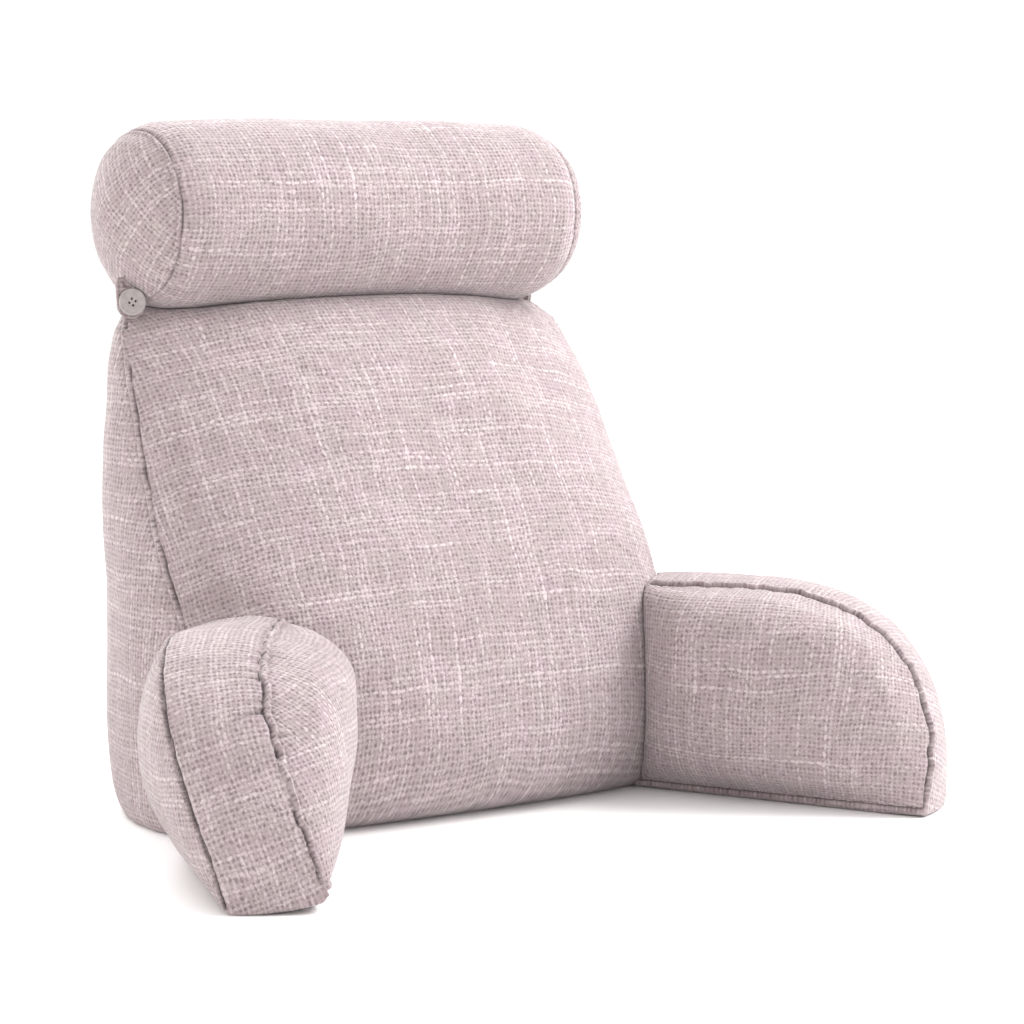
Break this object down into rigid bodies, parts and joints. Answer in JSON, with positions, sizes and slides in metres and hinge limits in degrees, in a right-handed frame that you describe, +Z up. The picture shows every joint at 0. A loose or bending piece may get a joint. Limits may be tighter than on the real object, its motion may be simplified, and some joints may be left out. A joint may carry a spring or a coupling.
{
  "type": "reading pillow with arms",
  "caption": "Filled wedge backrest with two splayed D-shaped arms and a round neck roll held on top by buttoned tabs, for sitting up in bed.",
  "frame": {"origin": "on the surface it stands on, at the middle of the whole part's width and depth", "axes": "+Z up, -Y towards the sitter, who leans back against the front panel between the arms, +X to the right for someone who looks at the part from the front"},
  "size_m": [0.7746, 0.5252, 0.5972],
  "materials": {
    "cloth": "woven, matt",
    "button": "matt"
  },
  "bodies": {
    "root": {"backrest": "cloth", "neck_roll": "cloth", "arm_right": "cloth", "arm_left": "cloth", "tab_left": "cloth", "tab_right": "cloth", "button_left": "button", "button_right": "button"}
  },
  "joints": []
}
